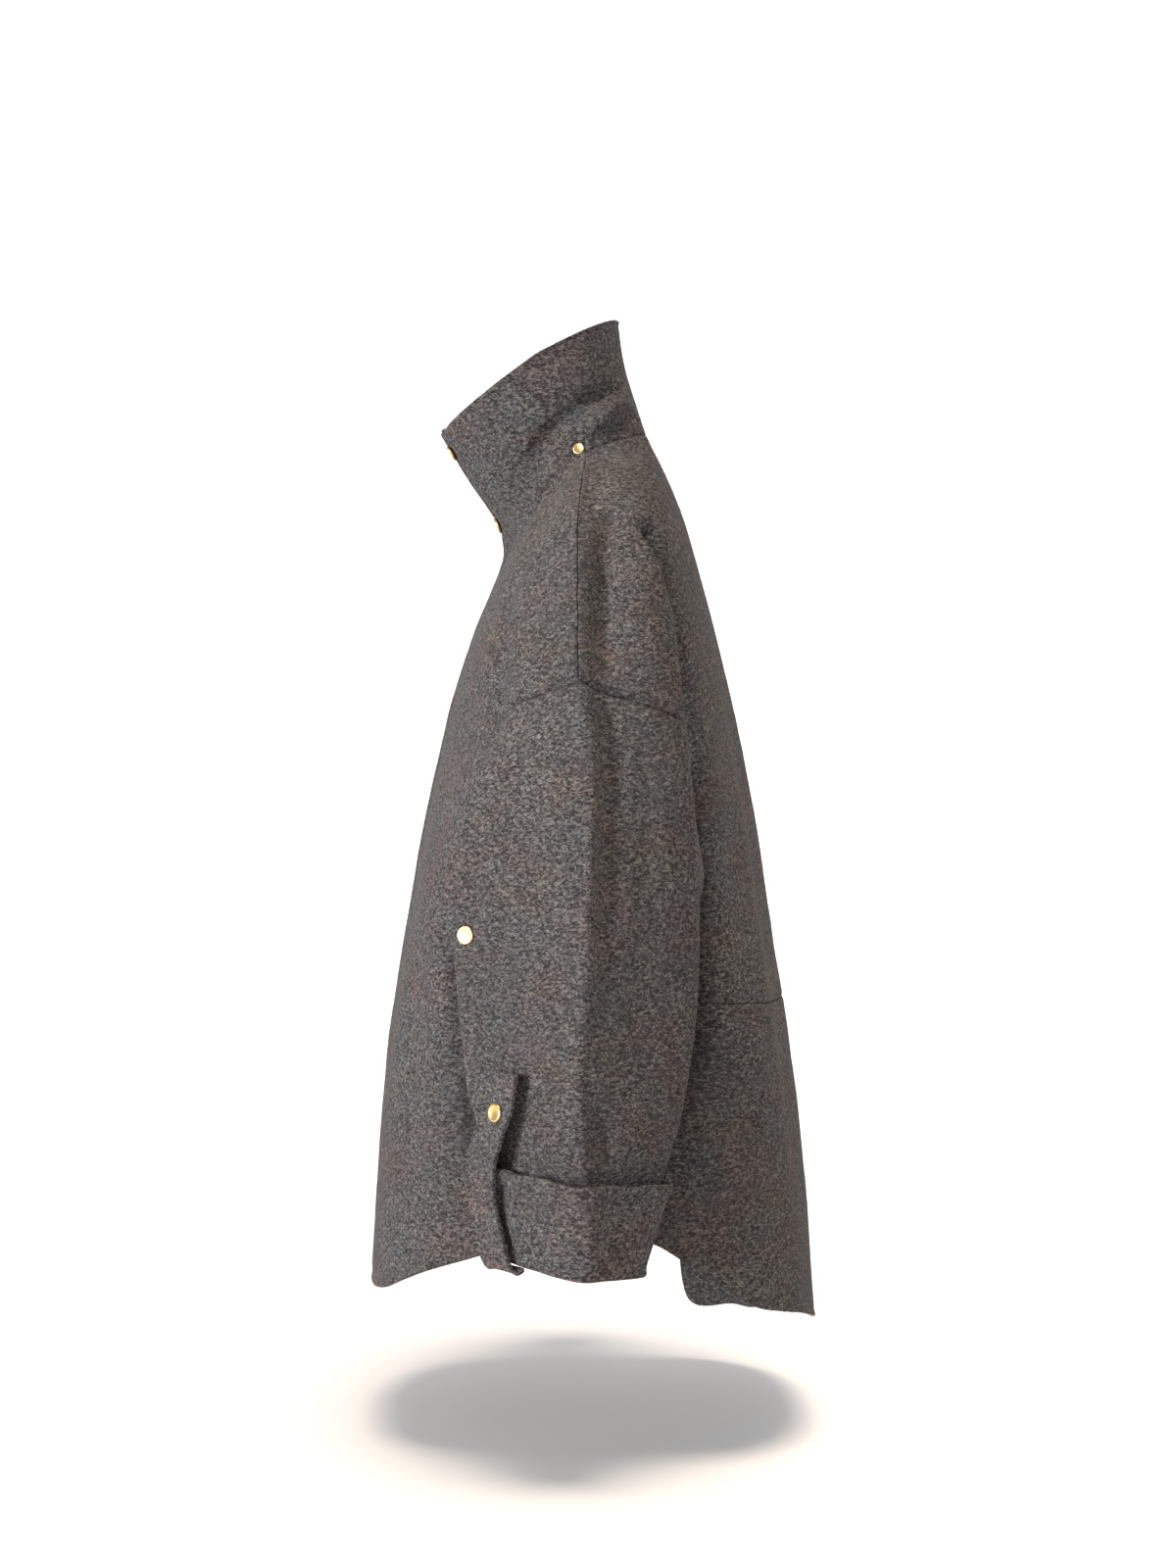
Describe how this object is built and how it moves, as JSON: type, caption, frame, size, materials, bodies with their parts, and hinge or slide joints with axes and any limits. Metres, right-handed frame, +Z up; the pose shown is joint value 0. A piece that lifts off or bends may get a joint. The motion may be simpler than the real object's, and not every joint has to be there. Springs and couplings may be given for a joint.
{
  "type": "stand-collar wool jacket",
  "caption": "Hip-length melange wool jacket with a leaning funnel collar, dropped shoulders, wide sleeves with turned-back cuffs and straps, and brass snaps, in its hollow worn form.",
  "frame": {"origin": "between the neck ends of the two shoulder seams, where the jacket hangs on its wearer", "axes": "+Z up, -Y the jacket's front, +X the wearer's left"},
  "size_m": [0.6248, 0.3954, 0.918],
  "materials": {
    "wool": "napped tweed, charcoal with brown and cream flecks",
    "wool_cuff": "inner side of the same tweed, turned out",
    "wool_strap": "the same tweed, pressed flat",
    "brass": "polished pale gold"
  },
  "bodies": {
    "root": {"front_left": "wool", "front_right": "wool", "back_upper": "wool", "back_lower": "wool", "sleeve_left": "wool", "sleeve_right": "wool", "cuff_left": "wool_cuff", "cuff_right": "wool_cuff", "tab_left": "wool_strap", "tab_right": "wool_strap", "snap_front_top": "brass", "snap_front_throat": "brass", "snap_neck_left": "brass", "snap_neck_right": "brass", "snap_sleeve_left": "brass", "snap_sleeve_right": "brass", "snap_tab_left": "brass", "snap_tab_right": "brass"}
  },
  "joints": []
}
